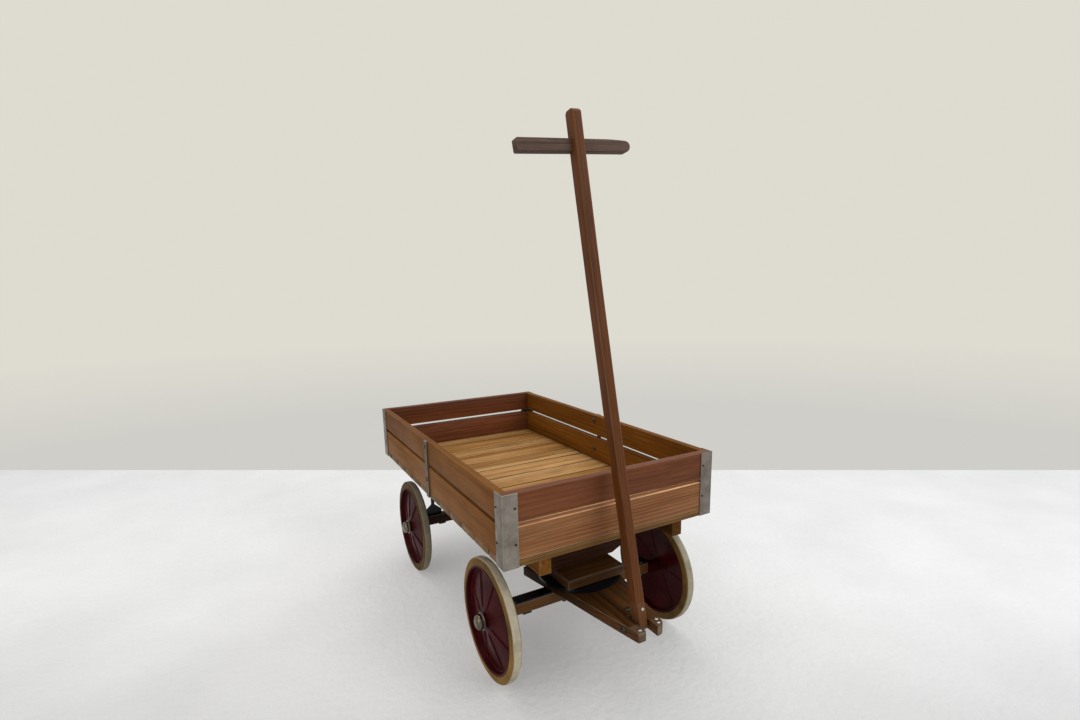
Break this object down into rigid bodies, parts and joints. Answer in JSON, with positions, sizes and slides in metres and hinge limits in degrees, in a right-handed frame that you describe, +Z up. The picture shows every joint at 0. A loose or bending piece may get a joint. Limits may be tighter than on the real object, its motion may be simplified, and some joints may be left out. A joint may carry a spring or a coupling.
{
  "type": "wooden wagon with pull handle",
  "caption": "Wooden box cart on ribbed disc wheels with a steered front axle and a long T-shaped pull handle standing upright.",
  "frame": {"origin": "On the ground under the middle of the whole cart's box at rest", "axes": "+X across the cart, to the right as seen from in front; +Y along it towards the rear; +Z up"},
  "size_m": [0.515, 0.9742, 1.1172],
  "materials": {
    "rubber_tyre": "matt",
    "maroon_disc": "glossy enamel",
    "angle_aluminium": "dull",
    "strap_steel": "dull",
    "dark_iron": "dark",
    "stand_iron": "dark",
    "bright_steel": "worn",
    "nickel_cap": "polished",
    "floor_wood": "varnished",
    "handle_wood": "varnished",
    "plank_wood": "varnished",
    "frame_wood": "worn"
  },
  "bodies": {
    "cart": {"bolster": "frame_wood", "corner_angle_front_left": "angle_aluminium", "corner_angle_front_right": "angle_aluminium", "corner_angle_rear_left": "angle_aluminium", "corner_angle_rear_right": "angle_aluminium", "floor_board_1": "floor_wood", "floor_board_10": "floor_wood", "floor_board_11": "floor_wood", "floor_board_12": "floor_wood", "floor_board_2": "floor_wood", "floor_board_3": "floor_wood", "floor_board_4": "floor_wood", "floor_board_5": "floor_wood", "floor_board_6": "floor_wood", "floor_board_7": "floor_wood", "floor_board_8": "floor_wood", "floor_board_9": "floor_wood", "frame_screws": "bright_steel", "front_plank_lower": "plank_wood", "front_plank_upper": "plank_wood", "left_plank_lower": "plank_wood", "left_plank_upper": "plank_wood", "nails": "bright_steel", "rail_left": "frame_wood", "rail_right": "frame_wood", "rear_axle_beam": "frame_wood", "rear_axle_keepers": "stand_iron", "rear_axle_rod": "bright_steel", "rear_axle_stands": "stand_iron", "rear_hub_caps": "nickel_cap", "rear_plank_lower": "plank_wood", "rear_plank_upper": "plank_wood", "right_plank_lower": "plank_wood", "right_plank_upper": "plank_wood", "side_strap_left": "strap_steel", "side_strap_right": "strap_steel", "strap_bolts": "bright_steel", "turntable_board": "frame_wood", "upper_ring": "dark_iron"},
    "front_truck": {"drawbar": "frame_wood", "front_axle_beam": "frame_wood", "front_axle_iron": "dark_iron", "front_axle_keepers": "stand_iron", "front_axle_rod": "bright_steel", "front_hub_caps": "nickel_cap", "hinge_bolt": "bright_steel", "king_bolt": "bright_steel", "lower_ring": "dark_iron", "truck_bolts": "bright_steel"},
    "front_left_wheel": {"front_left_disc": "maroon_disc", "front_left_tyre": "rubber_tyre"},
    "front_right_wheel": {"front_right_disc": "maroon_disc", "front_right_tyre": "rubber_tyre"},
    "pull_handle": {"handle_crossbar": "handle_wood", "handle_screws": "bright_steel", "handle_shaft": "handle_wood"},
    "rear_left_wheel": {"rear_left_disc": "maroon_disc", "rear_left_tyre": "rubber_tyre"},
    "rear_right_wheel": {"rear_right_disc": "maroon_disc", "rear_right_tyre": "rubber_tyre"}
  },
  "joints": [
    {"name": "steer", "type": "hinge", "parent": "cart", "child": "front_truck", "pos_m": [0, -0.2311, 0.176], "axis": [0, 0, 1], "range_deg": [-20, 20]},
    {"name": "handle_swing", "type": "hinge", "parent": "front_truck", "child": "pull_handle", "pos_m": [0, -0.4501, 0.165], "axis": [1, 0, 0], "range_deg": [0, 105]},
    {"name": "front_left_roll", "type": "hinge", "parent": "front_truck", "child": "front_left_wheel", "pos_m": [-0.22, -0.2311, 0.13], "axis": [1, 0, 0], "continuous": true},
    {"name": "front_right_roll", "type": "hinge", "parent": "front_truck", "child": "front_right_wheel", "pos_m": [0.22, -0.2311, 0.13], "axis": [1, 0, 0], "continuous": true},
    {"name": "rear_left_roll", "type": "hinge", "parent": "cart", "child": "rear_left_wheel", "pos_m": [-0.22, 0.3189, 0.13], "axis": [1, 0, 0], "continuous": true},
    {"name": "rear_right_roll", "type": "hinge", "parent": "cart", "child": "rear_right_wheel", "pos_m": [0.22, 0.3189, 0.13], "axis": [1, 0, 0], "continuous": true}
  ]
}
